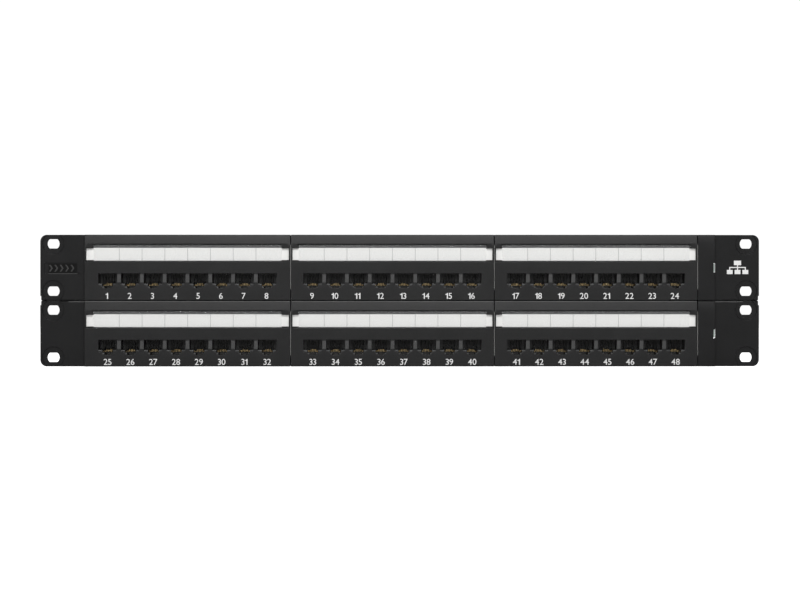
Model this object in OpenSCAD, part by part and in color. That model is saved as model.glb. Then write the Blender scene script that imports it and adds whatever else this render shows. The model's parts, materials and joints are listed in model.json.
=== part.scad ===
// 48-port network patch panel, two rack units high, for a 19-inch rack.
// +X is to the right as seen from the front, -Y is the front, +Z is up.
// The origin is the centre of the rack slots on the rear face of the steel frame.

/* [Panel] */
// Overall width of the panel
panel_w = 482.6; // [480:0.1:484]
// Height of one rack unit, and the distance between the two rows
unit_h = 44.45; // [44.45:0.05:45]
// Gap between two neighbouring mouldings, in a row and between the rows
seam = 0.6; // [0.4:0.1:1]
// Width of each ear, outside the row of modules
ear_w = 30; // [29.6:0.1:30.4]
// Thickness of an ear cover
ear_t = 3; // [2.6:0.1:3.4]
// Radius of the four outer corners
corner_r = 4.5; // [3:0.5:6]
// Thickness of the steel frame
steel_t = 1.5; // [1.2:0.1:2]
// Depth of the stiffening strips behind the top and bottom edges of the frame
stiffener_d = 12; // [8:1:20]

/* [Rack slots] */
// Distance between the slots on the left and on the right
slot_span = 465.1; // [464:0.1:466]
// Distance from a slot's centre to the top or the bottom of its unit
slot_edge = 6.35; // [6:0.05:6.5]
// Length of a slot in the steel, end to end
slot_l = 11; // [10:0.5:11.5]
// Width of a slot in the steel
slot_w = 6.8; // [6.5:0.1:7]
// Width of the opening in an ear cover
eye_w = 8.1; // [8:0.1:9]
// Height of the opening in an ear cover
eye_h = 6.2; // [6:0.1:6.6]
// Radius of the round recess for the screw's washer
washer_r = 7.2; // [6.5:0.1:7.5]

/* [Module face] */
// Width that a module takes up in its row, with its gap
module_w = 136.4; // [136:0.1:136.8]
// The same for the first module of each row, which is longer
first_module_w = 137.9; // [137:0.1:138.2]
// How far the module faces stand in front of the rack
face_d = 9; // [8.8:0.1:9.4]
// Height of the sloped band along the top
slope_h = 5.9; // [5.5:0.1:6.2]
// How far the sloped band leans back at its top
slope_d = 1.2; // [0.8:0.1:2]
// Thickness of the outer walls of a bezel
wall = 1.6; // [1.4:0.1:1.8]
// Thickness of the face round the ports
face_t = 2; // [1.8:0.1:2.2]

/* [Ports] */
// Number of ports in a module
ports = 8; // [6:1:8]
// Distance between two neighbouring ports
port_pitch = 15.24; // [15.1:0.02:15.3]
// Width of a port
port_w = 12.4; // [11.8:0.1:12.4]
// Height of a port's wide part
port_h = 6.55; // [6.4:0.05:6.8]
// Height of the bottom of the wide part above the bottom of the module
port_z = 11.3; // [11:0.1:11.6]
// Width and height of the upper step of the latch notch
notch_1 = [7, 1.8];
// Width and height of the lower step of the latch notch
notch_2 = [4.2, 1.6];
// Depth and height of the slanted lead-in under each ledge of the notch
lead_in = [0.5, 1.3];
// Depth of a port behind the module face
port_d = 12.6; // [12:0.1:13]

/* [Label holder] */
// Distance from the end of a label strip to the end of its bezel
strip_margin = 1.1; // [1:0.1:1.3]
// Height of a label strip under its clear cover
strip_h = 8.55; // [8.4:0.05:8.6]
// Height of the bottom of a label strip above the bottom of the module
strip_z = 26.45; // [26.4:0.05:26.6]
// Length of a clear cover without its pins
cover_l = 125.6; // [124:0.1:125.6]
// Thickness of a clear cover
cover_t = 1; // [0.8:0.1:1]
// Radius of the rounded top edge that the cover turns in
knuckle_r = 0.9; // [0.8:0.05:0.9]
// Radius of the cover's pins
pin_r = 0.55; // [0.5:0.05:0.6]
// Clearance round the cover's pins
pin_gap = 0.06; // [0.04:0.01:0.08]

/* [Wiring side] */
// Distance from the rack plane to the front of the circuit boards
board_y = 6; // [6:0.1:8]
// Thickness of the circuit boards
board_t = 1.6; // [1.6:0.1:2]
// Distance between two wire slots of a punch-down block
wire_pitch = 3.81; // [3.7:0.01:3.9]
// Width of a wire slot
wire_slot = 1.4; // [1.2:0.1:1.6]
// Height of a punch-down block above its board
block_d = 17; // [15:0.5:20]
// Height of one row of punch-down blocks
block_h = 10.5; // [9:0.5:11]

/* [Hidden] */
$fn = 48;
eps = 0.01;
columns = 3;
rows = 2;
spots = ["upper_left", "upper_middle", "upper_right", "lower_left", "lower_middle", "lower_right"];

// Panel and bezel
bezel_h = unit_h - seam;
row_w = panel_w - 2 * ear_w;
filler_w = row_w - first_module_w - (columns - 1) * module_w;
stiffener_w = row_w + 14;
edge = 0.6; // how far the ear covers reach past the steel
frame_w = panel_w - 2 * edge;
frame_h = rows * unit_h - seam - 2 * edge;
slope_z = bezel_h - slope_h;
seam_rib_z = [7.3, 36.9];

// Label recess, all heights above the bottom of the module
recess_gap = 0.4; // how much longer than its strip the recess is
recess_y = -face_d + 2.4;
recess_z = [strip_z - 0.75, slope_z - 0.55];
floor_t = 1.2;
strip_t = 0.5;
strip_end_inset = 0.4; // how much lower each strip is past the ends of the cover
ledge_h = 0.6;
cover_y = -face_d + 0.2;
pivot_y = cover_y + knuckle_r;
pivot_z = recess_z[1] - knuckle_r - 0.4;
cover_bottom = recess_z[0] + 0.35;
pin_l = 2.2;
cheek_z = strip_z + strip_h - 0.3;

// Jacks
jack_w = 14.4;
jack_z = [5.9, 20.9];
jack_y = -face_d + face_t;
wires = 8;
wire_step = 1.02;
wire_t = 0.35;
comb_w = 8.6; // width of the space over the port that the contact wires bend in
comb_z = 20.2;
tip_well_y = 0.8; // the floor behind this is lower, so that the wires' tips clear it

// Screws: shank radius, head radius, head height
frame_screw = [1.5, 2.75, 1.8];
board_screw = [1.25, 2.3, 1.6];
screw_gap = 0.05;
frame_hole_r = frame_screw[0] + 0.2;
post_r = 2.4;
post_z = 25.6;
post_x = [-58, 0, 58];
boss_r = 2.2;
boss_x = 63.8;
boss_z = [5.2, 37.6];
boss_screw_l = 4.5;
ear_screw_x = panel_w / 2 - ear_w + 5.7;
ear_screw_z = [14, 31];
ear_screw_l = 3.6;
filler_boss_z = 24;

// Circuit boards and punch-down blocks
board_w = 130;
board_z = [3, 40.5];
blocks_per_row = 4;
block_w = 31;
block_pitch = 31.8;
block_z = [11.2, 34.2];
block_floor = 6; // height of the bottom of the wire slots above the board
fork = [1.3, 0.5, 6]; // width, thickness and height of a wire contact

window_w = ports * port_pitch + 1.4;
window_z = [jack_z[0] - 0.5, jack_z[1] + 0.5];
slit_x = [-1.3, 0.7]; // open slit at the inner edge of a right ear
slit_z = [18.6, 24.8];

// Sunken plate on the upper left ear, measured from the ear's inner lower corner
plaque_x = [5.4, 27.1];
plaque_z = [17.8, 24.9];
plaque_d = 0.5;

black_plastic = [0.16, 0.16, 0.17];
jack_plastic = [0.1, 0.1, 0.1];
black_paint = [0.12, 0.12, 0.13];
gold = [0.83, 0.68, 0.35];

// Width that the module in a column takes up, and the length of its bezel and label strip
function spot_w(column) = column == 0 ? first_module_w : module_w;
function bezel_w(column) = spot_w(column) - seam / 2;
function strip_l(column) = bezel_w(column) - 2 * strip_margin;

// The centre of a module's column, and the bottom of a row of modules
function column_left(column) = column == 0 ? -row_w / 2 : column_left(column - 1) + spot_w(column - 1);
function column_x(column) = column_left(column) + spot_w(column) / 2;
function row_z(row) = (row == 0 ? 0 : -unit_h) + seam / 2;

// Puts a module's piece at its place, number 0 to 5, row by row
module at_module(number) {
    translate([column_x(number % columns), 0, row_z(floor(number / columns))])
        children();
}

module at_each_port() {
    for (port = [0 : ports - 1])
        translate([(port - (ports - 1) / 2) * port_pitch, 0, 0])
            children();
}

// Draws an outline of the Y-Z plane out along X, centred on x = 0
module across(length) {
    translate([-length / 2, 0, 0])
        rotate([90, 0, 90])
            linear_extrude(length)
                children();
}

// Draws an outline of the X-Z plane out along Y
module deep(y0, y1) {
    translate([0, y1, 0])
        rotate([90, 0, 0])
            linear_extrude(y1 - y0)
                children();
}

// A round bar or bore along Y
module bar(r, y0, y1) {
    deep(y0, y1)
        circle(r);
}

// A pan-head screw whose head lies on y = 0 and whose shank points to the front
module screw(sizes, length) {
    head_r = sizes[1];
    head_h = sizes[2];
    cross = [head_r * 1.1, head_h, 0.6];
    difference() {
        union() {
            bar(sizes[0], -length, eps);
            rotate([-90, 0, 0])
                cylinder(h = head_h * 0.6, r = head_r);
            translate([0, head_h * 0.6, 0])
                rotate([-90, 0, 0])
                    cylinder(h = head_h * 0.4, r1 = head_r, r2 = head_r * 0.7);
        }
        for (turn = [0, 90])
            rotate([0, turn, 0])
                translate([0, head_h, 0])
                    cube(cross, center = true);
    }
}

// ---- Steel frame and ears ----

// A slot with round ends, lying along X
module slot_outline(length, width) {
    straight = length - width;
    square([straight, width], center = true);
    for (side = [-1, 1])
        translate([side * straight / 2, 0])
            circle(d = width);
}

module at_each_slot() {
    for (x = [-slot_span / 2, slot_span / 2])
        for (z = [slot_edge, unit_h - slot_edge])
            for (side = [-1, 1])
                translate([x, side * z])
                    children();
}

// A rectangle centred on the origin with round corners
module rounded_plate(size, r) {
    square([size[0] - 2 * r, size[1]], center = true);
    square([size[0], size[1] - 2 * r], center = true);
    for (x = [-1, 1])
        for (z = [-1, 1])
            translate([x * (size[0] / 2 - r), z * (size[1] / 2 - r)])
                circle(r);
}

// The slit, with the ear's inner lower corner at the origin
module slit_outline(grow) {
    translate([slit_x[0] - grow, slit_z[0] - grow])
        square([slit_x[1] - slit_x[0] + 2 * grow, slit_z[1] - slit_z[0] + 2 * grow]);
}

module frame_holes() {
    at_each_slot()
        slot_outline(slot_l, slot_w);
    for (row = [0 : rows - 1])
        translate([0, row_z(row)]) {
            for (column = [0 : columns - 1])
                translate([column_x(column), 0]) {
                    translate([-window_w / 2, window_z[0]])
                        square([window_w, window_z[1] - window_z[0]]);
                    for (x = post_x)
                        translate([x, post_z])
                            circle(post_r + 0.3);
                    for (x = [-boss_x, boss_x])
                        for (z = boss_z)
                            translate([x, z])
                                circle(frame_hole_r);
                }
            translate([(row_w - filler_w) / 2, filler_boss_z])
                circle(frame_hole_r);
            translate([row_w / 2, 0])
                slit_outline(0.3);
        }
    for (x = [-ear_screw_x, ear_screw_x])
        for (z = ear_screw_z)
            for (side = [-1, 1])
                translate([x, side * z])
                    circle(frame_hole_r);
}

module steel_frame() {
    color(black_paint)
        deep(-steel_t, 0)
            difference() {
                rounded_plate([frame_w, frame_h], corner_r - edge);
                frame_holes();
            }
}

// A strip on edge, welded behind the frame's bottom edge (side -1) or its top edge (side 1)
module stiffener(side) {
    color(black_paint)
        translate([0, stiffener_d / 2, side * (frame_h - steel_t) / 2])
            cube([stiffener_w, stiffener_d, steel_t], center = true);
}

// The outline of the upper right ear, its inner lower corner at the origin
module ear_outline(inset) {
    w = ear_w - inset;
    h = bezel_h - inset;
    r = corner_r - inset;
    difference() {
        square([w, h]);
        translate([w - r, h - r])
            difference() {
                square(r + 1);
                circle(r);
            }
    }
}

// A round opening with two flat sides
module eye_outline() {
    intersection() {
        circle(d = eye_w);
        square([eye_w + 1, eye_h], center = true);
    }
}

// The upper right ear cover; the others mirror it
module ear_cover_shape(plaque, slit) {
    slot_x = slot_span / 2 - row_w / 2;
    front = -steel_t - ear_t;
    lip = edge - 0.05;
    notch_h = 2.8;
    translate([row_w / 2, 0, seam / 2])
        difference() {
            union() {
                deep(front, -steel_t)
                    ear_outline(0);
                deep(-steel_t - eps, -0.3)
                    difference() {
                        ear_outline(0);
                        translate([-1, -1])
                            square([ear_w - lip - corner_r + 1, bezel_h - lip + 1]);
                        translate([-1, -1])
                            square([ear_w - lip + 1, bezel_h - lip - corner_r + 1]);
                        ear_outline(lip);
                    }
            }
            for (z = [slot_edge, unit_h - slot_edge])
                translate([slot_x, 0, z - seam / 2]) {
                    deep(front - 1, 1)
                        eye_outline();
                    bar(washer_r, front - 1, front + 0.8);
                }
            deep(front - 1, 1)
                translate([ear_w - edge, -1])
                    square([edge + 1, notch_h + 1]);
            for (z = ear_screw_z)
                translate([ear_screw_x - row_w / 2, 0, z - seam / 2])
                    bar(frame_screw[0] + screw_gap, -steel_t - 2.4, 1);
            if (plaque)
                translate([plaque_x[0], front - 1, plaque_z[0]])
                    cube([plaque_x[1] - plaque_x[0], 1 + plaque_d, plaque_z[1] - plaque_z[0]]);
            if (slit)
                deep(front - 1, 1)
                    slit_outline(0);
        }
}

// Places an ear cover on its side, left -1 or right 1, and in its row, lower -1 or upper 1
module ear_cover(side, row_side) {
    left = side < 0;
    color(black_plastic)
        scale([side, 1, row_side])
            ear_cover_shape(left && row_side > 0, !left);
}

// ---- Module bezels ----

// The outside of a bezel or filler in the Y-Z plane
module casing_outline() {
    polygon([
        [-steel_t, 0],
        [-face_d, 0],
        [-face_d, slope_z],
        [-face_d + slope_d, bezel_h],
        [-steel_t, bezel_h]
    ]);
}

// The hollow behind the face; step_z is where the face gets deeper for the label recess
module hollow_outline(step_z) {
    back = -steel_t + 1;
    face = -face_d + face_t;
    step = recess_y + floor_t;
    polygon([
        [back, wall],
        [face, wall],
        [face, step_z],
        [step, step_z],
        [step, bezel_h - wall],
        [back, bezel_h - wall]
    ]);
}

// The recess of the label and its cover, with the ledge that the cover closes on
module recess_outline() {
    rib_z = strip_z + strip_h + 0.1;
    ledge_y = cover_y + cover_t + 0.05;
    polygon([
        [-face_d - 1, recess_z[0]],
        [ledge_y, recess_z[0]],
        [ledge_y, recess_z[0] + ledge_h],
        [recess_y, recess_z[0] + ledge_h],
        [recess_y, rib_z],
        [recess_y - 0.3, rib_z],
        [recess_y - 0.3, rib_z + 0.4],
        [recess_y, rib_z + 0.4],
        [recess_y, recess_z[1]],
        [-face_d - 1, recess_z[1]]
    ]);
}

// A port's opening: the wide part and the two steps of the latch notch
module port_outline() {
    step_1 = port_z - notch_1[1];
    step_2 = step_1 - notch_2[1];
    translate([-port_w / 2, port_z])
        square([port_w, port_h]);
    translate([-notch_1[0] / 2, step_1])
        square([notch_1[0], notch_1[1] + eps]);
    translate([-notch_2[0] / 2, step_2])
        square([notch_2[0], notch_2[1] + eps]);
}

// A slanted cut under a ledge at height z, as wide as the opening above the ledge
module lead_in_cut(z, width) {
    across(width)
        polygon([
            [-face_d - eps, z - lead_in[1]],
            [-face_d + lead_in[0], z + eps],
            [-face_d - eps, z + eps]
        ]);
}

// The two cheeks that the cover's pins turn in
module hinge_cheeks(recess_l) {
    inner = cover_l / 2 + 0.3;
    outer = recess_l / 2 + eps;
    for (side = [0, 1])
        mirror([side, 0, 0])
            translate([inner, -face_d, cheek_z])
                cube([outer - inner, recess_y + face_d + eps, recess_z[1] + eps - cheek_z]);
}

module hinge_bores() {
    for (side = [0, 1])
        mirror([side, 0, 0])
            translate([cover_l / 2, pivot_y, pivot_z])
                rotate([0, 90, 0])
                    cylinder(h = pin_l + 0.2, r = pin_r + pin_gap);
}

module bezel(column) {
    rib_w = seam / 2 - 0.1;
    length = bezel_w(column);
    recess_l = strip_l(column) + recess_gap;
    color(black_plastic)
        difference() {
            union() {
                difference() {
                    across(length)
                        casing_outline();
                    across(length - 2 * wall)
                        hollow_outline(recess_z[0] - 1.4);
                    across(recess_l)
                        recess_outline();
                }
                hinge_cheeks(recess_l);
                for (x = post_x)
                    translate([x, 0, post_z])
                        bar(post_r, recess_y + floor_t / 2, board_y);
                for (x = [-boss_x, boss_x]) {
                    translate([x, 0, boss_z[0]])
                        bar(boss_r, -face_d + face_t - 0.2, -steel_t);
                    translate([x, 0, boss_z[1]])
                        bar(boss_r, recess_y + floor_t - 0.2, -steel_t);
                }
                translate([length / 2 - eps, -face_d + 0.4, seam_rib_z[0]])
                    cube([rib_w, face_d - steel_t - 0.4, seam_rib_z[1] - seam_rib_z[0]]);
            }
            at_each_port() {
                deep(-face_d - 1, -face_d + face_t + eps)
                    port_outline();
                lead_in_cut(port_z, port_w);
                lead_in_cut(port_z - notch_1[1], notch_1[0]);
            }
            hinge_bores();
            for (x = post_x)
                translate([x, 0, post_z])
                    bar(board_screw[0] + screw_gap, 0, board_y + 1);
            for (x = [-boss_x, boss_x])
                for (z = boss_z)
                    translate([x, 0, z])
                        bar(frame_screw[0] + screw_gap, -boss_screw_l - 0.2, 0);
        }
}

// The blank piece that closes the right end of a row
module end_filler(row) {
    color(black_plastic)
        translate([(row_w - filler_w) / 2, 0, row_z(row)])
            difference() {
                union() {
                    difference() {
                        across(filler_w - seam / 2)
                            casing_outline();
                        across(filler_w - seam / 2 - 2 * wall)
                            hollow_outline(recess_z[0] - 1.4);
                    }
                    translate([0, 0, filler_boss_z])
                        bar(boss_r, -face_d + face_t - 0.2, -steel_t);
                }
                translate([0, 0, filler_boss_z])
                    bar(frame_screw[0] + screw_gap, -boss_screw_l - 0.2, 0);
                deep(-face_d - 1, 0)
                    translate([filler_w / 2, 0])
                        slit_outline(0);
            }
}

// ---- Label strips and their hinged clear covers ----

module label_strip(column) {
    end_h = strip_h - 2 * strip_end_inset;
    length = strip_l(column);
    color("white")
        deep(recess_y - strip_t, recess_y) {
            translate([-cover_l / 2, strip_z])
                square([cover_l, strip_h]);
            translate([-length / 2, strip_z + strip_end_inset])
                square([length, end_h]);
        }
}

module label_cover() {
    color([0.85, 0.88, 0.9, 0.4])
        union() {
            translate([-cover_l / 2, cover_y, cover_bottom])
                cube([cover_l, cover_t, pivot_z - cover_bottom]);
            translate([-cover_l / 2, pivot_y, pivot_z])
                rotate([0, 90, 0])
                    cylinder(h = cover_l, r = knuckle_r);
            translate([-cover_l / 2 - pin_l, pivot_y, pivot_z])
                rotate([0, 90, 0])
                    cylinder(h = cover_l + 2 * pin_l, r = pin_r);
        }
}

// ---- Jacks ----

module jack_housing() {
    back = -face_d + port_d;
    difference() {
        translate([-jack_w / 2, jack_y, jack_z[0]])
            cube([jack_w, board_y - jack_y, jack_z[1] - jack_z[0]]);
        deep(jack_y - 1, back)
            port_outline();
        translate([-comb_w / 2, jack_y + 1.4, port_z + port_h - eps])
            cube([comb_w, board_y - jack_y, comb_z - port_z - port_h]);
        translate([-comb_w / 2, tip_well_y, port_z - notch_1[1]])
            cube([comb_w, back - tip_well_y, notch_1[1] + eps]);
    }
}

module jack_housings() {
    color(jack_plastic)
        at_each_port()
            jack_housing();
}

// One contact: a flat wire that runs forward over the port, bends and springs down into it
module jack_contact() {
    run_z = comb_z - 0.6;
    bend_r = 0.6;
    bend = [-3, run_z - bend_r];
    tip = [3.1, port_z - 1];
    drop = atan2(bend[1] - tip[1], tip[0] - bend[0]);
    last_turn = 270 - drop;
    turns = [90, (90 + last_turn) / 2, last_turn];
    inner_r = bend_r - wire_t / 2;
    outer_r = bend_r + wire_t / 2;
    spring_l = norm(tip - bend);
    along = [cos(drop), -sin(drop)];
    side = [-sin(drop), -cos(drop)];
    polygon(concat(
        [[board_y, run_z + wire_t / 2]],
        [for (a = turns) bend + outer_r * [cos(a), sin(a)]],
        [for (r = [outer_r, inner_r]) bend + r * side + spring_l * along],
        [for (i = [len(turns) - 1 : -1 : 0]) bend + inner_r * [cos(turns[i]), sin(turns[i])]],
        [[board_y, run_z - wire_t / 2]]
    ));
}

module jack_contacts() {
    color(gold)
        at_each_port()
            for (wire = [0 : wires - 1])
                translate([(wire - (wires - 1) / 2) * wire_step, 0, 0])
                    across(wire_t)
                        jack_contact();
}

// ---- Circuit boards and punch-down blocks ----

module circuit_board() {
    color([0.08, 0.3, 0.16])
        deep(board_y, board_y + board_t)
            difference() {
                translate([-board_w / 2, board_z[0]])
                    square([board_w, board_z[1] - board_z[0]]);
                for (x = post_x)
                    translate([x, post_z])
                        circle(board_screw[0] + 0.2);
            }
}

module at_each_block() {
    for (z = block_z)
        for (block = [0 : blocks_per_row - 1])
            translate([(block - (blocks_per_row - 1) / 2) * block_pitch, board_y + board_t, z])
                children();
}

module at_each_wire_slot() {
    for (slot = [0 : wires - 1])
        translate([(slot - (wires - 1) / 2) * wire_pitch, 0, 0])
            children();
}

// The points of one tooth between two wire slots: tooth 0 and the last one are the ends
function tooth(number) =
    let (
        centre = (number - wires / 2) * wire_pitch,
        half = (wire_pitch - wire_slot) / 2,
        left = max(-block_w / 2, centre - half),
        right = min(block_w / 2, centre + half),
        tip = number % 2 == 0 ? block_d : block_d - 1.6
    )
    [[left, block_floor], [left, tip - 1.4], [(left + right) / 2, tip], [right, tip - 1.4], [right, block_floor]];

module punch_down_block() {
    translate([0, 0, -block_h / 2])
        linear_extrude(block_h)
            polygon(concat(
                [[-block_w / 2, 0]],
                [for (number = [0 : wires]) each tooth(number)],
                [[block_w / 2, 0]]
            ));
}

module punch_down_blocks() {
    color(jack_plastic)
        at_each_block()
            punch_down_block();
}

// A forked contact that cuts through a wire's insulation, on the floor of its slot
module wire_contact() {
    half = fork[0] / 2;
    gap = 0.2;
    gap_floor = 1;
    translate([0, block_floor, -fork[1] / 2])
        linear_extrude(fork[1])
            polygon([
                [-half, 0],
                [half, 0],
                [half, fork[2]],
                [gap, fork[2] - 1],
                [gap, gap_floor],
                [-gap, gap_floor],
                [-gap, fork[2] - 1],
                [-half, fork[2]]
            ]);
}

module wire_contacts() {
    color([0.8, 0.8, 0.82])
        at_each_block()
            at_each_wire_slot()
                wire_contact();
}

// ---- Screws ----

module bezel_screws() {
    color("silver") {
        for (number = [0 : rows * columns - 1])
            at_module(number)
                for (x = [-boss_x, boss_x])
                    for (z = boss_z)
                        translate([x, 0, z])
                            screw(frame_screw, boss_screw_l);
        for (row = [0 : rows - 1])
            translate([(row_w - filler_w) / 2, 0, row_z(row) + filler_boss_z])
                screw(frame_screw, boss_screw_l);
    }
}

module board_screws() {
    color("silver")
        for (number = [0 : rows * columns - 1])
            at_module(number)
                for (x = post_x)
                    translate([x, board_y + board_t, post_z])
                        screw(board_screw, board_t + 5);
}

module ear_cover_screws() {
    color("silver")
        for (x = [-ear_screw_x, ear_screw_x])
            for (z = ear_screw_z)
                for (side = [-1, 1])
                    translate([x, 0, side * z])
                        screw(frame_screw, ear_screw_l);
}

// ---- The assembly ----

steel_frame();
stiffener(1);  // stiffener_upper
stiffener(-1);  // stiffener_lower
ear_cover(-1, 1);  // ear_cover_upper_left
ear_cover(1, 1);  // ear_cover_upper_right
ear_cover(-1, -1);  // ear_cover_lower_left
ear_cover(1, -1);  // ear_cover_lower_right
end_filler(0);  // end_filler_upper
end_filler(1);  // end_filler_lower
bezel_screws();
board_screws();
ear_cover_screws();

for (i = [0 : len(spots) - 1]) {
    spot = spots[i];
    column = i % columns;
    at_module(i) bezel(column);
    at_module(i) label_strip(column);
    at_module(i) label_cover();
    at_module(i) jack_housings();
    at_module(i) jack_contacts();
    at_module(i) circuit_board();
    at_module(i) punch_down_blocks();
    at_module(i) wire_contacts();
}
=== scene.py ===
"""Looks of the 48-port network patch panel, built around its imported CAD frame. All lengths are in metres."""

import json
import math

import bmesh
import bpy
from mathutils import Matrix, Vector


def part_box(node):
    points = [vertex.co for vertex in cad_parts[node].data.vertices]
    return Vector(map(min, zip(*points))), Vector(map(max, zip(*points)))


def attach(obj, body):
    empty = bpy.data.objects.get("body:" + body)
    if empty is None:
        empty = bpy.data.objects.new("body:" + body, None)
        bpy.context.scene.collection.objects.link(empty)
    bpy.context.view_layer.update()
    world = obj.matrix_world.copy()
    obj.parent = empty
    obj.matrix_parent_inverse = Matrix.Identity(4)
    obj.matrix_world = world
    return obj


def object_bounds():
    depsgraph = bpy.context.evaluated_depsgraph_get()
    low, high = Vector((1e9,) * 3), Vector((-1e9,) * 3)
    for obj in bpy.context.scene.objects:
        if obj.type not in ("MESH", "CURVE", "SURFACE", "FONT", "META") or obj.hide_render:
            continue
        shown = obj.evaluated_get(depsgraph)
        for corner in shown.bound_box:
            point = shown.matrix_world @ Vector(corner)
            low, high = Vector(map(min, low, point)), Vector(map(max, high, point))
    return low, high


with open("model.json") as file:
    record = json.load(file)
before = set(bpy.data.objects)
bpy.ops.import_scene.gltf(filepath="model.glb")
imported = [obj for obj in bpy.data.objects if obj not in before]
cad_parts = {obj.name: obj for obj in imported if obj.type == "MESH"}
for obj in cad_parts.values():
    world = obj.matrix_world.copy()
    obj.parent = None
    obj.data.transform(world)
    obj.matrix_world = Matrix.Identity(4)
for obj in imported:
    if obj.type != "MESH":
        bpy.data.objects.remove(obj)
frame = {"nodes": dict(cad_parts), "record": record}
CAD_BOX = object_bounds()

MM = 0.001
SPOTS = ["upper_left", "upper_middle", "upper_right", "lower_left", "lower_middle", "lower_right"]
PORTS = 8
PORT_PITCH = 15.24 * MM
WIRES = 8
WIRE_STEP = 1.02 * MM  # between two contact wires in a jack
WIRE_PITCH = 3.81 * MM  # between two wire slots in a punch-down block
INK = 0.04 * MM  # how far printing stands proud
PANEL = "panel"

# ---------------------------------------------------------------- places in the frame


def port_x(spot, port):
    """Where a port's middle is, port 0 to 7 from the left."""
    low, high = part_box("jack_housings_" + spot)
    return (low.x + high.x) / 2 + (port - (PORTS - 1) / 2) * PORT_PITCH


def bottom_z(spot):
    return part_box("bezel_" + spot)[0].z


# ---------------------------------------------------------------- materials


class Look:
    """A node material that starts as one Principled shader with object coordinates."""

    def __init__(self, name, color=None, roughness=0.5, metallic=0.0):
        self.material = bpy.data.materials.new(name)
        self.material.use_nodes = True
        self.tree = self.material.node_tree
        self.tree.nodes.clear()
        self.output = self.node("ShaderNodeOutputMaterial")
        self.shader = self.node("ShaderNodeBsdfPrincipled")
        self.link(self.shader, "BSDF", self.output, "Surface")
        self.coords = self.node("ShaderNodeTexCoord")
        if color:
            self.set("Base Color", (*color, 1))
        self.set("Roughness", roughness)
        self.set("Metallic", metallic)

    def node(self, kind):
        return self.tree.nodes.new(kind)

    def link(self, source, output, target, socket):
        self.tree.links.new(source.outputs[output], target.inputs[socket])

    def set(self, socket, value):
        self.shader.inputs[socket].default_value = value

    def noise(self, scale, detail=2.0, stretch=(1, 1, 1)):
        """Noise with its grains about 1/scale metres wide."""
        mapping = self.node("ShaderNodeMapping")
        mapping.inputs["Scale"].default_value = stretch
        self.link(self.coords, "Object", mapping, "Vector")
        texture = self.node("ShaderNodeTexNoise")
        texture.inputs["Scale"].default_value = scale
        texture.inputs["Detail"].default_value = detail
        self.link(mapping, "Vector", texture, "Vector")
        return texture

    def color_from(self, texture, output, dark, light, low=0.3, high=0.7):
        ramp = self.node("ShaderNodeValToRGB")
        ramp.color_ramp.elements[0].position = low
        ramp.color_ramp.elements[0].color = (*dark, 1)
        ramp.color_ramp.elements[1].position = high
        ramp.color_ramp.elements[1].color = (*light, 1)
        self.link(texture, output, ramp, "Fac")
        self.link(ramp, "Color", self.shader, "Base Color")

    def roughness_from(self, texture, output, low, high):
        spread = self.node("ShaderNodeMapRange")
        spread.inputs["From Min"].default_value = 0.3
        spread.inputs["From Max"].default_value = 0.7
        spread.inputs["To Min"].default_value = low
        spread.inputs["To Max"].default_value = high
        self.link(texture, output, spread, "Value")
        self.link(spread, "Result", self.shader, "Roughness")

    def bump_from(self, texture, output, height, strength=1.0):
        bump = self.node("ShaderNodeBump")
        bump.inputs["Distance"].default_value = height
        bump.inputs["Strength"].default_value = strength
        self.link(texture, output, bump, "Height")
        self.link(bump, "Normal", self.shader, "Normal")


def moulded(name, color, roughness=0.5, grain=0.35, specular=0.5):
    """Black plastic with a fine spark-eroded grain, slightly uneven in colour and shine."""
    look = Look(name, color, roughness)
    look.set("Specular IOR Level", specular)
    grains = look.noise(1 / (grain * MM), detail=3)
    cloud = look.noise(60, detail=4)
    darker = tuple(c * 0.88 for c in color)
    lighter = tuple(c * 1.14 for c in color)
    look.color_from(cloud, "Fac", darker, lighter)
    look.roughness_from(grains, "Fac", roughness - 0.08, roughness + 0.08)
    look.bump_from(grains, "Fac", 0.02 * MM, strength=0.5)
    return look.material


def powder_coat(name, color):
    """Painted sheet steel with a powder coat's soft orange peel."""
    look = Look(name, color, 0.45)
    peel = look.noise(1100, detail=2)
    cloud = look.noise(25, detail=3)
    look.color_from(cloud, "Fac", tuple(c * 0.9 for c in color), tuple(c * 1.1 for c in color))
    look.roughness_from(peel, "Fac", 0.36, 0.52)
    look.bump_from(peel, "Fac", 0.05 * MM, strength=0.6)
    look.set("Coat Weight", 0.15)
    look.set("Coat Roughness", 0.3)
    return look.material


def card(name, color):
    """Uncoated white card with faint fibres."""
    look = Look(name, color, 0.85)
    fibres = look.noise(2500, detail=4, stretch=(0.35, 1, 1))
    look.color_from(fibres, "Fac", tuple(c * 0.995 for c in color), color)
    look.bump_from(fibres, "Fac", 0.01 * MM, strength=0.4)
    look.set("Specular IOR Level", 0.3)
    return look.material


def clear_sheet(name):
    """Clear polycarbonate: nearly all of the light goes through, and the surface has a gloss."""
    look = Look(name, (0.7, 0.72, 0.72), 0.08)
    smears = look.noise(40, detail=4)
    look.roughness_from(smears, "Fac", 0.05, 0.14)
    look.set("Alpha", 0.07)
    look.set("IOR", 1.58)
    look.material.surface_render_method = "BLENDED"
    return look.material


def metal(name, color, roughness, streak=(1, 1, 1), metallic=1.0):
    """Metal with fine streaks in its colour and its shine."""
    look = Look(name, color, roughness, metallic)
    streaks = look.noise(900, detail=3, stretch=streak)
    look.color_from(streaks, "Fac", tuple(c * 0.75 for c in color), color)
    look.roughness_from(streaks, "Fac", roughness * 0.7, roughness * 1.4)
    look.bump_from(streaks, "Fac", 0.01 * MM, strength=0.4)
    return look.material


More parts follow.
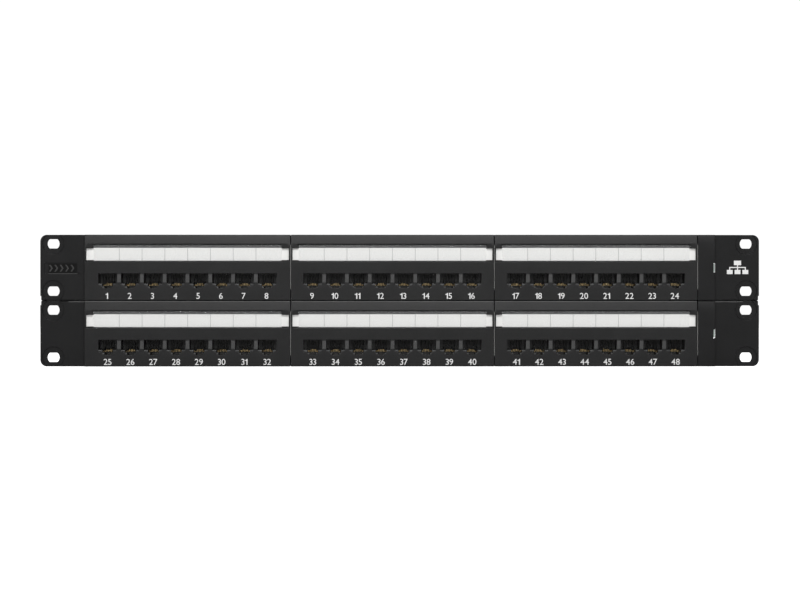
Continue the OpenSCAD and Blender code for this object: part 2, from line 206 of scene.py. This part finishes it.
def plated_spring(name, color, unplated_in_painted_shade, shade_to_plating_from, shade_to_plating_to):
    """Spring wire of metal whose unplated front part is painted near black, which is painted shade for the
    dark inside the port; a gold plating begins at a depth behind the face.
    """
    look = Look(name, color, 0.4, metallic=1.0)
    axes = look.node("ShaderNodeSeparateXYZ")
    look.link(look.coords, "Object", axes, "Vector")
    depth = look.node("ShaderNodeMapRange")
    depth.inputs["From Min"].default_value = shade_to_plating_from
    depth.inputs["From Max"].default_value = shade_to_plating_to
    look.link(axes, "Y", depth, "Value")
    # the near-black front colour is painted shade; the gold behind it is the plating
    look.color_from(depth, "Result", unplated_in_painted_shade, color, low=0.1, high=0.9)
    drawn = look.noise(900, detail=3, stretch=(1, 0.2, 0.2))
    look.roughness_from(drawn, "Fac", 0.2, 0.36)
    look.bump_from(drawn, "Fac", 0.01 * MM, strength=0.4)
    return look.material


def solder_resist(name):
    """Green resist over copper tracks, which show as a lighter green."""
    look = Look(name, (0.01, 0.075, 0.03), 0.3)
    tracks = look.node("ShaderNodeTexBrick")
    tracks.inputs["Scale"].default_value = 1.0
    tracks.inputs["Brick Width"].default_value = 5.1 * MM
    tracks.inputs["Row Height"].default_value = 1.27 * MM
    tracks.inputs["Mortar Size"].default_value = 0.16 * MM
    tracks.inputs["Mortar Smooth"].default_value = 0.2
    tracks.inputs["Color1"].default_value = (0.008, 0.06, 0.025, 1)
    tracks.inputs["Color2"].default_value = (0.01, 0.075, 0.03, 1)
    tracks.inputs["Mortar"].default_value = (0.03, 0.17, 0.06, 1)
    flat = look.node("ShaderNodeMapping")
    flat.inputs["Rotation"].default_value = (math.radians(90), 0, 0)
    look.link(look.coords, "Object", flat, "Vector")
    look.link(flat, "Vector", tracks, "Vector")
    look.link(tracks, "Color", look.shader, "Base Color")
    look.bump_from(tracks, "Fac", 0.03 * MM, strength=0.5)
    look.set("Coat Weight", 0.6)
    look.set("Coat Roughness", 0.12)
    return look.material


def ink(name, color):
    """Screen-printed ink, a little uneven at its edges."""
    look = Look(name, color, 0.6)
    specks = look.noise(4000, detail=2)
    look.color_from(specks, "Fac", tuple(c * 0.92 for c in color), color)
    look.bump_from(specks, "Fac", 0.01 * MM, strength=0.3)
    return look.material


# depths where the contact wires' painted shade gives way to the gold plating
SHADE_TO_PLATING_FROM, SHADE_TO_PLATING_TO = 1.2 * MM, 2.6 * MM

MATERIALS = {
    "frame_paint": powder_coat("frame_paint", (0.018, 0.018, 0.019)),
    "ear_plastic": moulded("ear_plastic", (0.0075, 0.0075, 0.0078), roughness=0.4, specular=0.17),
    "bezel_plastic": moulded("bezel_plastic", (0.0125, 0.0125, 0.0127), roughness=0.34, specular=0.2),
    "label_card": card("label_card", (0.76, 0.757, 0.742)),
    "clear_plastic": clear_sheet("clear_plastic"),
    "jack_plastic": moulded("jack_plastic", (0.01, 0.01, 0.01), roughness=0.4, grain=0.6),
    # the contact wires' near-black front colour is painted shade, not the metal's own colour
    "contact_gold": plated_spring(
        "contact_gold", (1.0, 0.7, 0.28), (0.1, 0.096, 0.09), SHADE_TO_PLATING_FROM, SHADE_TO_PLATING_TO
    ),
    "tip_gold": metal("tip_gold", (1.0, 0.76, 0.4), 0.3, metallic=0.3),
    "board_green": solder_resist("board_green"),
    "block_plastic": moulded("block_plastic", (0.012, 0.012, 0.012), roughness=0.42, grain=0.6),
    "contact_tin": metal("contact_tin", (0.82, 0.82, 0.8), 0.3, streak=(1, 0.2, 1)),
    "screw_zinc": metal("screw_zinc", (0.72, 0.74, 0.78), 0.28, streak=(1, 1, 0.3)),
    # a lighter plastic used as painted highlight on the port bars and on the plaque's lower rim
    "painted_highlight_plastic": moulded("painted_highlight_plastic", (0.037, 0.037, 0.037), roughness=0.3),
    # light grey that is a painted highlight along the lower row's top edges
    "painted_edge_highlight": moulded("painted_edge_highlight", (0.12, 0.12, 0.12), roughness=0.3),
    # near-black plate that is painted shade inside the ear's sunken plaque
    "plaque_painted_shade": moulded("plaque_painted_shade", (0.004, 0.004, 0.004), roughness=0.5, specular=0.1),
    "relief_black": moulded("relief_black", (0.022, 0.022, 0.022), roughness=0.35),
    # light grey that is a painted highlight along the seams between modules
    "seam_painted_highlight": moulded("seam_painted_highlight", (0.4, 0.4, 0.39), roughness=0.5),
    "clip_plastic": moulded("clip_plastic", (0.42, 0.5, 0.46), roughness=0.4),
    "ink_white": ink("ink_white", (0.7, 0.7, 0.695)),
    "ink_grey": ink("ink_grey", (0.36, 0.36, 0.36)),
}
PAIR_COLORS = {
    "blue": (0.02, 0.09, 0.5),
    "orange": (0.8, 0.2, 0.01),
    "green": (0.02, 0.3, 0.05),
    "brown": (0.16, 0.06, 0.02),
}
for pair, pair_color in PAIR_COLORS.items():
    MATERIALS["ink_" + pair] = ink("ink_" + pair, pair_color)

# ---------------------------------------------------------------- CAD nodes


def round_edges(obj, radius, segments=2):
    """Rounds an object's edges with a modifier, and keeps its flat faces flat in the shading."""
    edges = obj.modifiers.new("rounded_edges", "BEVEL")
    edges.width = radius
    edges.segments = segments
    edges.limit_method = "ANGLE"
    edges.angle_limit = math.radians(40)
    edges.use_clamp_overlap = False
    edges.loop_slide = False
    normals = obj.modifiers.new("flat_face_normals", "WEIGHTED_NORMAL")
    normals.weight = 100
    for polygon in obj.data.polygons:
        polygon.use_smooth = True


def finish_node(node, slot, bevel):
    """Gives a CAD node its material, and rounds its edges with modifiers."""
    obj = frame["nodes"][node]
    look = "ear_plastic" if node.startswith("end_filler") else slot  # the fillers are as dark as the ears
    obj.data.materials.clear()
    obj.data.materials.append(MATERIALS[look])
    if not bevel:
        return
    weld = obj.modifiers.new("weld", "WELD")
    weld.merge_threshold = 0.002 * MM
    round_edges(obj, bevel)


BEVELS = {
    "frame_paint": 0.25 * MM,
    "ear_plastic": 0.3 * MM,
    "bezel_plastic": 0.3 * MM,
    "clear_plastic": 0.12 * MM,
    "jack_plastic": 0.08 * MM,
    "board_green": 0.1 * MM,
    "block_plastic": 0.1 * MM,
    "screw_zinc": 0.12 * MM,
}


def finish_cad_nodes():
    for part in frame["record"]["subparts"]:
        finish_node(part["node"], part["material_slot"], BEVELS.get(part["material_slot"], 0))


# ---------------------------------------------------------------- new pieces


def add_piece(name, bm, materials, body=PANEL):
    """Makes a piece of a bmesh, riding on a body. The piece's vertices are in the frame's own metres."""
    bmesh.ops.recalc_face_normals(bm, faces=bm.faces)
    mesh = bpy.data.meshes.new(name)
    bm.to_mesh(mesh)
    bm.free()
    for material in materials:
        mesh.materials.append(MATERIALS[material])
    obj = bpy.data.objects.new(name, mesh)
    bpy.context.scene.collection.objects.link(obj)
    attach(obj, body)
    return obj


def add_prism(bm, outline, y_back, y_front, material=0):
    """A plate whose outline is points (x, z), between two depths."""
    back = [bm.verts.new((x, y_back, z)) for x, z in outline]
    front = [bm.verts.new((x, y_front, z)) for x, z in outline]
    faces = [bm.faces.new(back), bm.faces.new(front)]
    count = len(outline)
    for i in range(count):
        j = (i + 1) % count
        faces.append(bm.faces.new((back[i], back[j], front[j], front[i])))
    for face in faces:
        face.material_index = material


def rectangle(x0, z0, x1, z1):
    return [(x0, z0), (x1, z0), (x1, z1), (x0, z1)]


ONE_OUTLINE = [
    (0.24, 0), (0.42, 0), (0.42, 1), (0.29, 1), (0.24, 0.88), (0.14, 0.82), (0, 0.8), (0, 0.68), (0.24, 0.68)
]
DIGIT_GAP = 0.1


def digit_mesh(digit):
    """A digit lying in the X-Y plane, 1 high and 1 thick, with its left edge on x = 0."""
    if digit == "1":
        bm = bmesh.new()
        add_prism(bm, ONE_OUTLINE, -0.5, 0.5)
        mesh = bpy.data.meshes.new("digit")
        bm.to_mesh(mesh)
        bm.free()
        mesh.transform(Matrix.Rotation(math.radians(-90), 4, "X"))
        return mesh
    curve = bpy.data.curves.new("digit", "FONT")
    curve.body = digit
    curve.offset = 0.003
    curve.extrude = 0.05
    obj = bpy.data.objects.new("digit", curve)
    bpy.context.scene.collection.objects.link(obj)
    bpy.context.view_layer.update()
    graph = bpy.context.evaluated_depsgraph_get()
    mesh = bpy.data.meshes.new_from_object(obj.evaluated_get(graph))
    bpy.data.objects.remove(obj)
    bpy.data.curves.remove(curve)
    low = [min(v.co[axis] for v in mesh.vertices) for axis in range(3)]
    high = [max(v.co[axis] for v in mesh.vertices) for axis in range(3)]
    height = high[1] - low[1]
    mesh.transform(Matrix.Translation((-low[0], -low[1], 0)))
    mesh.transform(Matrix.Diagonal((1 / height, 1 / height, 1 / (high[2] - low[2]), 1)))
    return mesh


DIGITS = {digit: digit_mesh(digit) for digit in "0123456789"}
DIGIT_W = {digit: max(v.co.x for v in mesh.vertices) for digit, mesh in DIGITS.items()}


def add_number(bm, number, x, z, height, y_back, thickness):
    """Raised digits centred on x, on a surface that faces the front."""
    digits = str(number)
    width = sum(DIGIT_W[d] for d in digits) + DIGIT_GAP * (len(digits) - 1)
    left = x - height * width / 2
    stand = Matrix.Rotation(math.radians(90), 4, "X")
    size = Matrix.Diagonal((height, height, thickness, 1))
    for digit in digits:
        mesh = DIGITS[digit].copy()
        mesh.transform(Matrix.Translation((left, y_back - thickness / 2, z)) @ stand @ size)
        bm.from_mesh(mesh)
        bpy.data.meshes.remove(mesh)
        left += height * (DIGIT_W[digit] + DIGIT_GAP)


NUMBER_H = 4 * MM
NUMBER_Z = {"upper": 0.85 * MM, "lower": 1.15 * MM}
NUMBER_X = {"upper": -0.5 * MM, "lower": 0}


def port_numbers():
    """White numbers 1 to 48 under the ports."""
    for module, spot in enumerate(SPOTS):
        row = spot.split("_")[0]
        face_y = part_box("bezel_" + spot)[0].y
        bm = bmesh.new()
        for port in range(PORTS):
            number = module * PORTS + port + 1
            x = port_x(spot, port) + NUMBER_X[row]
            add_number(bm, number, x, bottom_z(spot) + NUMBER_Z[row], NUMBER_H, face_y, INK)
        add_piece("port_numbers_" + spot, bm, ["ink_white"])


DIVIDER_W = 0.35 * MM


def label_dividers():
    """Thin grey lines that part the fields of each label strip."""
    for spot in SPOTS:
        low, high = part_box("label_strip_" + spot)
        bm = bmesh.new()
        for line in range(1, PORTS):
            x = (low.x + high.x) / 2 + (line - PORTS / 2) * PORT_PITCH
            outline = rectangle(x - DIVIDER_W / 2, low.z, x + DIVIDER_W / 2, high.z)
            add_prism(bm, outline, low.y, low.y - INK)
        add_piece("label_dividers_" + spot, bm, ["ink_grey"])


MARK_X = 15.5 * MM


def network_mark():
    """A plain white pictogram on the upper right ear: one box joined to three boxes below it."""
    low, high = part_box("ear_cover_upper_right")
    middle_x = low.x + MARK_X
    middle_z = (low.z + high.z) / 2
    boxes = [
        (-2.4, 1.6, 2.4, 4.6),
        (-0.35, 0.3, 0.35, 1.6),
        (-5.6, -0.3, 5.6, 0.4),
        (-5.6, -1.6, -4.9, -0.3),
        (-0.35, -1.6, 0.35, -0.3),
        (4.9, -1.6, 5.6, -0.3),
        (-7.2, -4.4, -3.3, -1.6),
        (-1.95, -4.4, 1.95, -1.6),
        (3.3, -4.4, 7.2, -1.6),
    ]
    bm = bmesh.new()
    for x0, z0, x1, z1 in boxes:
        outline = rectangle(
            middle_x + x0 * MM, middle_z + z0 * MM, middle_x + x1 * MM, middle_z + z1 * MM
        )
        add_prism(bm, outline, low.y, low.y - INK)
    add_piece("network_mark", bm, ["ink_white"])


PLAQUE_DEPTH = 0.5 * MM
PLATE_X = (5.5 * MM, 27 * MM)
PLATE_Z = (17.9 * MM, 24.8 * MM)
RIM_H = 0.4 * MM
ARROWS = 5
ARROWS_X = (5.8 * MM, 23.8 * MM)
ARROWS_Z = (19.4 * MM, 24 * MM)
ARROW_THICK = 1.1 * MM
ARROW_REACH = 0.72  # the share of its step that a chevron fills
RELIEF_H = 0.25 * MM
RELIEF_ROOT = 0.05 * MM


def plaque_plate(low, ground_y):
    """A near-black plate in the sunken plaque of the upper left ear, which is painted shade for the recess,
    with a lighter rim below it that is a painted highlight.
    """
    left, right = low.x + PLATE_X[0], low.x + PLATE_X[1]
    bottom, top = PLATE_Z
    bm = bmesh.new()
    add_prism(bm, rectangle(left, bottom, right, top), ground_y, ground_y - INK)
    add_prism(bm, rectangle(left, bottom, right, bottom + RIM_H), ground_y, low.y, 1)
    add_piece("plaque_plate", bm, ["plaque_painted_shade", "painted_highlight_plastic"])


def plaque_relief():
    """The plaque's plate, and raised chevrons on it."""
    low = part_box("ear_cover_upper_left")[0]
    ground_y = low.y + PLAQUE_DEPTH
    plaque_plate(low, ground_y)
    step = (ARROWS_X[1] - ARROWS_X[0]) / ARROWS
    bottom, top = ARROWS_Z
    middle_z = sum(ARROWS_Z) / 2
    bm = bmesh.new()
    for arrow in range(ARROWS):
        x = low.x + ARROWS_X[0] + arrow * step
        tip = x + step * ARROW_REACH
        outline = [
            (x, bottom), (x + ARROW_THICK, bottom), (tip, middle_z),
            (x + ARROW_THICK, top), (x, top), (tip - ARROW_THICK, middle_z),
        ]
        add_prism(bm, outline, ground_y + RELIEF_ROOT, ground_y - RELIEF_H)
    relief = add_piece("plaque_relief", bm, ["relief_black"])
    round_edges(relief, 0.12 * MM)


SEAM_W = 0.36 * MM
SEAM_Z = (7.3 * MM, 36.9 * MM)
SEAM_DEPTH = 0.42 * MM
SEAM_T = 0.1 * MM
SEAM_INSET = 0.1 * MM


def seam_strips():
    """Thin light grey strips in the gaps between neighbouring modules, a painted highlight for the light that
    the seams catch.
    """
    for spot in SPOTS:
        low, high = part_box("bezel_" + spot)
        bm = bmesh.new()
        x = high.x - SEAM_INSET
        y = low.y + SEAM_DEPTH
        outline = rectangle(x - SEAM_W / 2, low.z + SEAM_Z[0], x + SEAM_W / 2, low.z + SEAM_Z[1])
        add_prism(bm, outline, y, y - SEAM_T)
        add_piece("seam_strip_" + spot, bm, ["seam_painted_highlight"])


SHINE_H = 0.3 * MM
BEZEL_SHINE = {"side": 0.4 * MM, "below": 0.1 * MM, "y": (1.5 * MM, 1.06 * MM)}
EAR_SHINE = {"left": (19 * MM, 0.3 * MM), "right": (0.3 * MM, 11 * MM)}  # kept off each ear's two ends
EAR_SHINE_BELOW = 0.35 * MM
EAR_SHINE_Y = (0.1 * MM, -0.02 * MM)


def shiny_edges():
    """Thin light grey strips along the top edges of the lower row, a painted highlight where those edges catch
    the light.
    """
    bm = bmesh.new()
    for spot in SPOTS[3:]:
        low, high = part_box("bezel_" + spot)
        left, right = low.x + BEZEL_SHINE["side"], high.x - BEZEL_SHINE["side"]
        top = high.z - BEZEL_SHINE["below"]
        back, front = BEZEL_SHINE["y"]
        add_prism(bm, rectangle(left, top - SHINE_H, right, top), low.y + back, low.y + front)
    for side, (off_left, off_right) in EAR_SHINE.items():
        low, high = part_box("ear_cover_lower_" + side)
        left, right = low.x + off_left, high.x - off_right
        top = high.z - EAR_SHINE_BELOW
        back, front = EAR_SHINE_Y
        add_prism(bm, rectangle(left, top - SHINE_H, right, top), low.y + back, low.y + front)
    add_piece("shiny_edges", bm, ["painted_edge_highlight"])


TAB_X = (-0.9 * MM, 0.3 * MM)
TAB_Z = (18.9 * MM, 24.5 * MM)
TAB_Y = (2.4 * MM, 0.5 * MM)
HALF_SEAM = 0.3 * MM


def slit_tabs():
    """Pale clips that show in the slits beside the right ears."""
    for row, side in (("upper", 1), ("lower", -1)):
        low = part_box("ear_cover_%s_right" % row)[0]
        inner = HALF_SEAM * side
        bottom, top = sorted((inner + side * TAB_Z[0], inner + side * TAB_Z[1]))
        left, right = low.x + TAB_X[0], low.x + TAB_X[1]
        bm = bmesh.new()
        add_prism(bm, rectangle(left, bottom, right, top), low.y + TAB_Y[0], low.y + TAB_Y[1])
        tab = add_piece("slit_tab_" + row, bm, ["clip_plastic"])
        round_edges(tab, 0.2 * MM, 3)


BAR_Z = (11.9 * MM, 17.3 * MM)
BAR_W = 2.4 * MM


def port_bars():
    """Lighter pads on the narrow bars between neighbouring ports, a painted highlight."""
    for spot in SPOTS:
        low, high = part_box("bezel_" + spot)
        bm = bmesh.new()
        for port in range(1, PORTS):
            x = (port_x(spot, port - 1) + port_x(spot, port)) / 2
            outline = rectangle(x - BAR_W / 2, low.z + BAR_Z[0], x + BAR_W / 2, low.z + BAR_Z[1])
            add_prism(bm, outline, low.y, low.y - INK)
        add_piece("port_bars_" + spot, bm, ["painted_highlight_plastic"])


# a depth, a height above the wires' lowest point and half sizes, for the middle wires and for the others
MIDDLE_TIP = (1.9 * MM, 0.9 * MM, (0.36 * MM, 0.45 * MM, 1.2 * MM))
SIDE_TIP = (2.5 * MM, 0.3 * MM, (0.36 * MM, 0.45 * MM, 0.7 * MM))


def contact_tips():
    """The rounded ends of the jacks' contact wires, longer on the four middle ones."""
    for spot in SPOTS:
        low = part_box("jack_contacts_" + spot)[0]
        bm = bmesh.new()
        for port in range(PORTS):
            for wire in range(WIRES):
                x = port_x(spot, port) + (wire - (WIRES - 1) / 2) * WIRE_STEP
                y, rise, half = MIDDLE_TIP if 2 <= wire <= 5 else SIDE_TIP
                shape = Matrix.Diagonal((*half, 1))
                place = Matrix.Translation((x, y, low.z + rise))
                bmesh.ops.create_uvsphere(bm, u_segments=12, v_segments=8, radius=1, matrix=place @ shape)
        for face in bm.faces:
            face.smooth = True
        add_piece("contact_tips_" + spot, bm, ["tip_gold"])


STRIP_H = 1.9 * MM
STRIP_T = 0.1 * MM
STRIPS_Z = (16.7 * MM, 20.7 * MM)
CELL_HALF_W = 1.5 * MM
CELL_MARGIN = 0.2 * MM
HALF_CELL_MARGIN = 1.0 * MM  # a striped wire's cell covers only the strip's upper half
CELL_T = 0.03 * MM
BLOCK_HALF_W = 15.5 * MM


def wiring_labels():
    """Strips with the cable pairs' colours, between the two rows of punch-down blocks."""
    paints = ["label_card"] + ["ink_" + pair for pair in PAIR_COLORS]
    for spot in SPOTS:
        low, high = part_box("punch_down_blocks_" + spot)
        board_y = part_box("circuit_board_" + spot)[1].y
        blocks = PORTS // 2
        pitch = (high.x - low.x - 2 * BLOCK_HALF_W) / (blocks - 1)
        bm = bmesh.new()
        for z in (bottom_z(spot) + STRIPS_Z[0], bottom_z(spot) + STRIPS_Z[1]):
            add_prism(bm, rectangle(low.x, z, high.x, z + STRIP_H), board_y, board_y + STRIP_T)
            for block in range(blocks):
                for wire in range(WIRES):
                    middle = low.x + BLOCK_HALF_W + block * pitch + (wire - (WIRES - 1) / 2) * WIRE_PITCH
                    cell_low = z + (CELL_MARGIN if wire % 2 else HALF_CELL_MARGIN)
                    cell = rectangle(
                        middle - CELL_HALF_W, cell_low, middle + CELL_HALF_W, z + STRIP_H - CELL_MARGIN
                    )
                    add_prism(bm, cell, board_y + STRIP_T, board_y + STRIP_T + CELL_T, 1 + wire // 2)
        add_piece("wiring_labels_" + spot, bm, paints)


JOINT_H = 0.5 * MM
JOINT_R = (0.42 * MM, 0.14 * MM)


def solder_joints():
    """Where each jack's eight wires come through the circuit board."""
    for spot in SPOTS:
        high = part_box("jack_contacts_" + spot)[1]
        board_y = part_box("circuit_board_" + spot)[1].y
        z = high.z - 0.25 * MM
        bm = bmesh.new()
        for port in range(PORTS):
            for wire in range(WIRES):
                x = port_x(spot, port) + (wire - (WIRES - 1) / 2) * WIRE_STEP
                place = Matrix.Translation((x, board_y + JOINT_H / 2, z))
                turn = Matrix.Rotation(math.radians(-90), 4, "X")
                bmesh.ops.create_cone(
                    bm,
                    cap_ends=True,
                    segments=12,
                    radius1=JOINT_R[0],
                    radius2=JOINT_R[1],
                    depth=JOINT_H,
                    matrix=place @ turn,
                )
        add_piece("solder_joints_" + spot, bm, ["contact_tin"])


# ---------------------------------------------------------------- camera, light and floor

VIEW_D = 1.6
VIEW_YAW = math.radians(0.6)
VIEW_W = 0.53705
VIEW_AIM = Vector((-0.13 * MM, -4.5 * MM, 0.4 * MM))


def add_camera():
    """Looks straight at the front, from a little to the left."""
    data = bpy.data.cameras.new("camera")
    camera = bpy.data.objects.new("camera", data)
    bpy.context.scene.collection.objects.link(camera)
    away = Vector((-math.sin(VIEW_YAW), -math.cos(VIEW_YAW), 0))
    camera.location = VIEW_AIM + VIEW_D * away
    camera.rotation_euler = (math.radians(90), 0, -VIEW_YAW)
    data.sensor_width = 36
    data.lens = data.sensor_width * VIEW_D / VIEW_W
    data.clip_start = 0.01
    bpy.context.scene.camera = camera


def add_area_light(name, place, aim, size, power):
    data = bpy.data.lights.new(name, "AREA")
    data.shape = "RECTANGLE"
    data.size, data.size_y = size
    data.energy = power
    light = bpy.data.objects.new(name, data)
    bpy.context.scene.collection.objects.link(light)
    light.location = place
    direction = Vector(aim) - Vector(place)
    light.rotation_euler = direction.to_track_quat("-Z", "Y").to_euler()


ROOM_LIGHT, ROOM_SEEN = 0.08, 1.05


def add_world():
    """A pale room that lights softly and looks white."""
    world = bpy.data.worlds.new("studio")
    bpy.context.scene.world = world
    world.use_nodes = True
    tree = world.node_tree
    background = tree.nodes["Background"]
    background.inputs["Color"].default_value = (1, 1, 1, 1)
    rays = tree.nodes.new("ShaderNodeLightPath")
    strength = tree.nodes.new("ShaderNodeMapRange")
    strength.inputs["To Min"].default_value = ROOM_LIGHT
    strength.inputs["To Max"].default_value = ROOM_SEEN
    tree.links.new(rays.outputs["Is Camera Ray"], strength.inputs["Value"])
    tree.links.new(strength.outputs["Result"], background.inputs["Strength"])


FLOOR_LIGHT, FLOOR_SEEN = 0.25, 0.95
FLOOR_HALF = 8
FLOOR_GAP = 0.05 * MM


def add_floor():
    """A white floor that the camera sees as evenly bright, and that lights the object at another level."""
    bm = bmesh.new()
    half = FLOOR_HALF
    z = CAD_BOX[0].z - FLOOR_GAP
    corners = [(-half, -half), (half, -half), (half, half), (-half, half)]
    bm.faces.new([bm.verts.new((x, y, z)) for x, y in corners])
    mesh = bpy.data.meshes.new("floor")
    bm.to_mesh(mesh)
    bm.free()
    look = Look("floor", (0.8, 0.8, 0.8), 0.9)
    look.set("Specular IOR Level", 0.1)
    look.set("Emission Color", (1, 1, 1, 1))
    rays = look.node("ShaderNodeLightPath")
    glow = look.node("ShaderNodeMapRange")
    glow.inputs["To Min"].default_value = FLOOR_LIGHT
    glow.inputs["To Max"].default_value = FLOOR_SEEN
    look.link(rays, "Is Camera Ray", glow, "Value")
    look.link(glow, "Result", look.shader, "Emission Strength")
    mesh.materials.append(look.material)
    floor = bpy.data.objects.new("floor", mesh)
    bpy.context.scene.collection.objects.link(floor)


def add_lights():
    """A large key light above the front, and weaker ones around the object."""
    add_area_light("key", (0.05, -1.9, 1.5), (0, 0, 0), (1.4, 0.5), 39)
    add_area_light("front", (0, -1.9, 0.5), (0, 0, 0), (1.2, 0.2), 5)
    add_area_light("top", (0, -0.3, 1.6), (0, 0, 0), (2.0, 0.8), 4)
    add_area_light("left", (-1.7, -1.4, 0.25), (0, 0, 0), (0.5, 0.5), 2)
    add_area_light("right", (1.7, -1.4, 0.25), (0, 0, 0), (0.5, 0.5), 1.5)
    add_area_light("back", (0.3, 1.8, 1.5), (0, 0, 0), (1.8, 1.0), 24)


# ---------------------------------------------------------------- the scene

add_camera()
add_world()
add_floor()
add_lights()
finish_cad_nodes()
port_numbers()
label_dividers()
network_mark()
wiring_labels()
solder_joints()
plaque_relief()
seam_strips()
shiny_edges()
slit_tabs()
port_bars()
contact_tips()

bpy.context.scene.view_settings.view_transform = "Standard"
